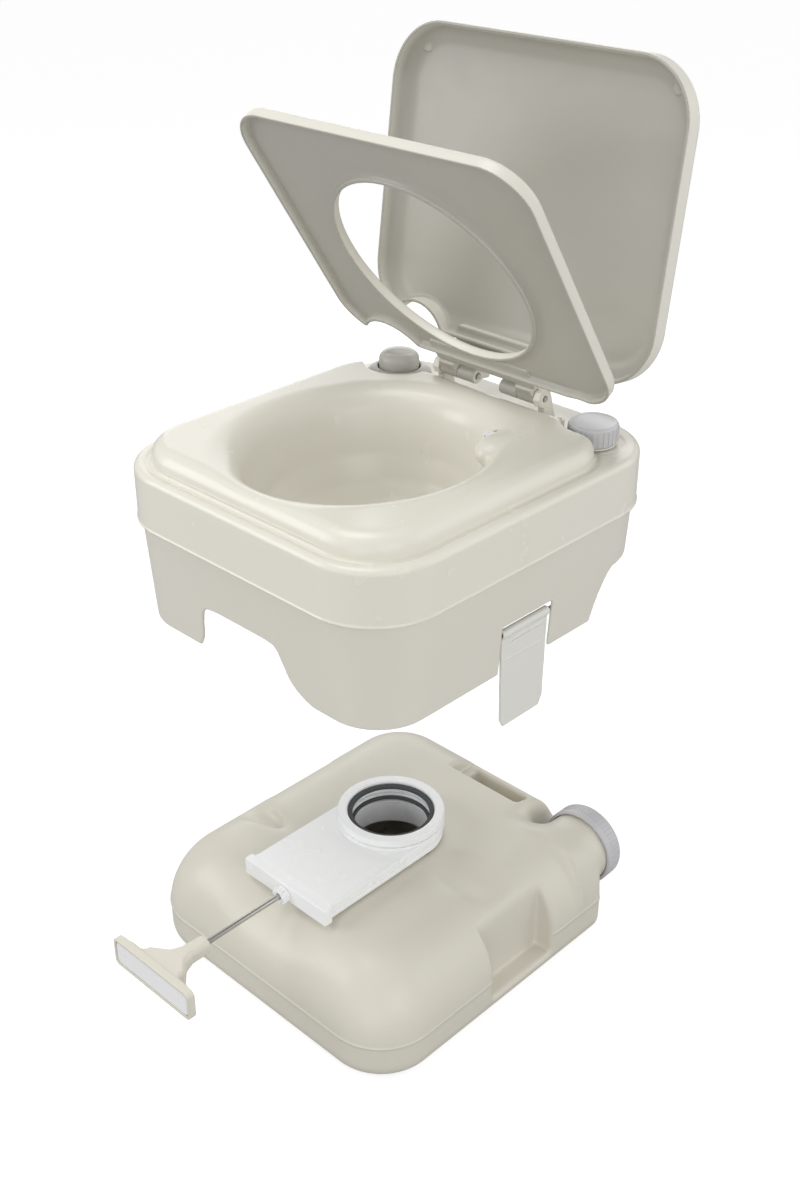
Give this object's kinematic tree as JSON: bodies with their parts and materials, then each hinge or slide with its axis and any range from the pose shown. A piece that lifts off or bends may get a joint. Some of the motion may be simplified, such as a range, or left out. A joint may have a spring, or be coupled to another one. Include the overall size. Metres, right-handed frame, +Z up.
{
  "type": "portable camp toilet",
  "caption": "Portable flushing camp toilet: a top section with bowl, seat, lid and pump, lifted off its waste tank with a sliding gate valve.",
  "frame": {"origin": "centre of the waste tank's flat underside, on the ground", "axes": "+Z up, -Y towards the front where the valve handle is, +X towards the user's right as they face the toilet from the front"},
  "size_m": [0.3698, 0.5449, 0.9299],
  "materials": {
    "deck": "satin moulded cream plastic",
    "skirt": "satin moulded beige plastic",
    "tank": "blow-moulded beige plastic",
    "valve_white": "smooth white plastic",
    "cap_grey": "satin light grey plastic",
    "black_rubber": "matte black rubber",
    "steel": "bright steel"
  },
  "bodies": {
    "waste_tank": {"waste_tank": "tank", "valve_gasket": "black_rubber", "valve_base": "valve_white", "valve_lock_ring": "valve_white", "valve_top": "valve_white", "upper_lip_seal": "black_rubber", "lower_lip_seal": "black_rubber", "rod_guide": "valve_white"},
    "valve_gate": {"valve_blade": "valve_white", "valve_rod": "steel", "valve_handle": "tank", "handle_panel": "valve_white"},
    "spout_cap": {"spout_cap": "cap_grey", "spout_cap_gasket": "black_rubber"},
    "top_section": {"bowl_deck": "deck", "skirt": "skirt", "outlet_seal": "black_rubber", "flush_nozzle": "valve_white", "flush_hose": "black_rubber", "pump_collar": "cap_grey", "pump_cylinder": "valve_white", "pickup_tube": "valve_white", "pump_bellows": "black_rubber", "filler_neck": "deck", "left_hinge_bracket": "skirt", "right_hinge_bracket": "skirt", "left_hinge_pin": "steel", "right_hinge_pin": "steel", "left_front_hinge_screw": "steel", "left_rear_hinge_screw": "steel", "right_front_hinge_screw": "steel", "right_rear_hinge_screw": "steel", "left_latch_pin": "steel", "right_latch_pin": "steel"},
    "pump_knob": {"pump_knob": "deck"},
    "filler_cap": {"filler_cap": "cap_grey", "filler_cap_gasket": "black_rubber"},
    "seat": {"seat": "deck"},
    "lid": {"lid": "deck"},
    "left_latch": {"left_latch": "cap_grey"},
    "right_latch": {"right_latch": "cap_grey"}
  },
  "joints": [
    {"name": "lift_off", "type": "slide", "parent": "waste_tank", "child": "top_section", "axis": [0, 0, 1], "range_m": [-0.32, 0]},
    {"name": "valve_pull", "type": "slide", "parent": "waste_tank", "child": "valve_gate", "axis": [0, -1, 0], "range_m": [-0.094, 0]},
    {"name": "spout_cap_turn", "type": "hinge", "parent": "waste_tank", "child": "spout_cap", "pos_m": [0.132, 0.18, 0.074], "axis": [0, 1, 0], "range_deg": [-360, 0]},
    {"name": "filler_cap_turn", "type": "hinge", "parent": "top_section", "child": "filler_cap", "pos_m": [0.128, 0.148, 0.595], "axis": [0, 0, 1], "range_deg": [0, 360]},
    {"name": "pump_press", "type": "slide", "parent": "top_section", "child": "pump_knob", "axis": [0, 0, -1], "range_m": [0, 0.008], "stiffness_N_per_m": 900, "springref_m": -0.001, "deforming": ["pump_bellows"]},
    {"name": "seat_hinge", "type": "hinge", "parent": "top_section", "child": "seat", "pos_m": [0, 0.145, 0.608], "axis": [-1, 0, 0], "range_deg": [-57, 40]},
    {"name": "lid_hinge", "type": "hinge", "parent": "seat", "child": "lid", "pos_m": [0, 0.145, 0.608], "axis": [1, 0, 0], "range_deg": [-57, 40.5]},
    {"name": "left_latch_swing", "type": "hinge", "parent": "top_section", "child": "left_latch", "pos_m": [-0.169, 0.005, 0.456], "axis": [0, 1, 0], "range_deg": [0, 92]},
    {"name": "right_latch_swing", "type": "hinge", "parent": "top_section", "child": "right_latch", "pos_m": [0.169, 0.005, 0.456], "axis": [0, -1, 0], "range_deg": [0, 92]}
  ]
}
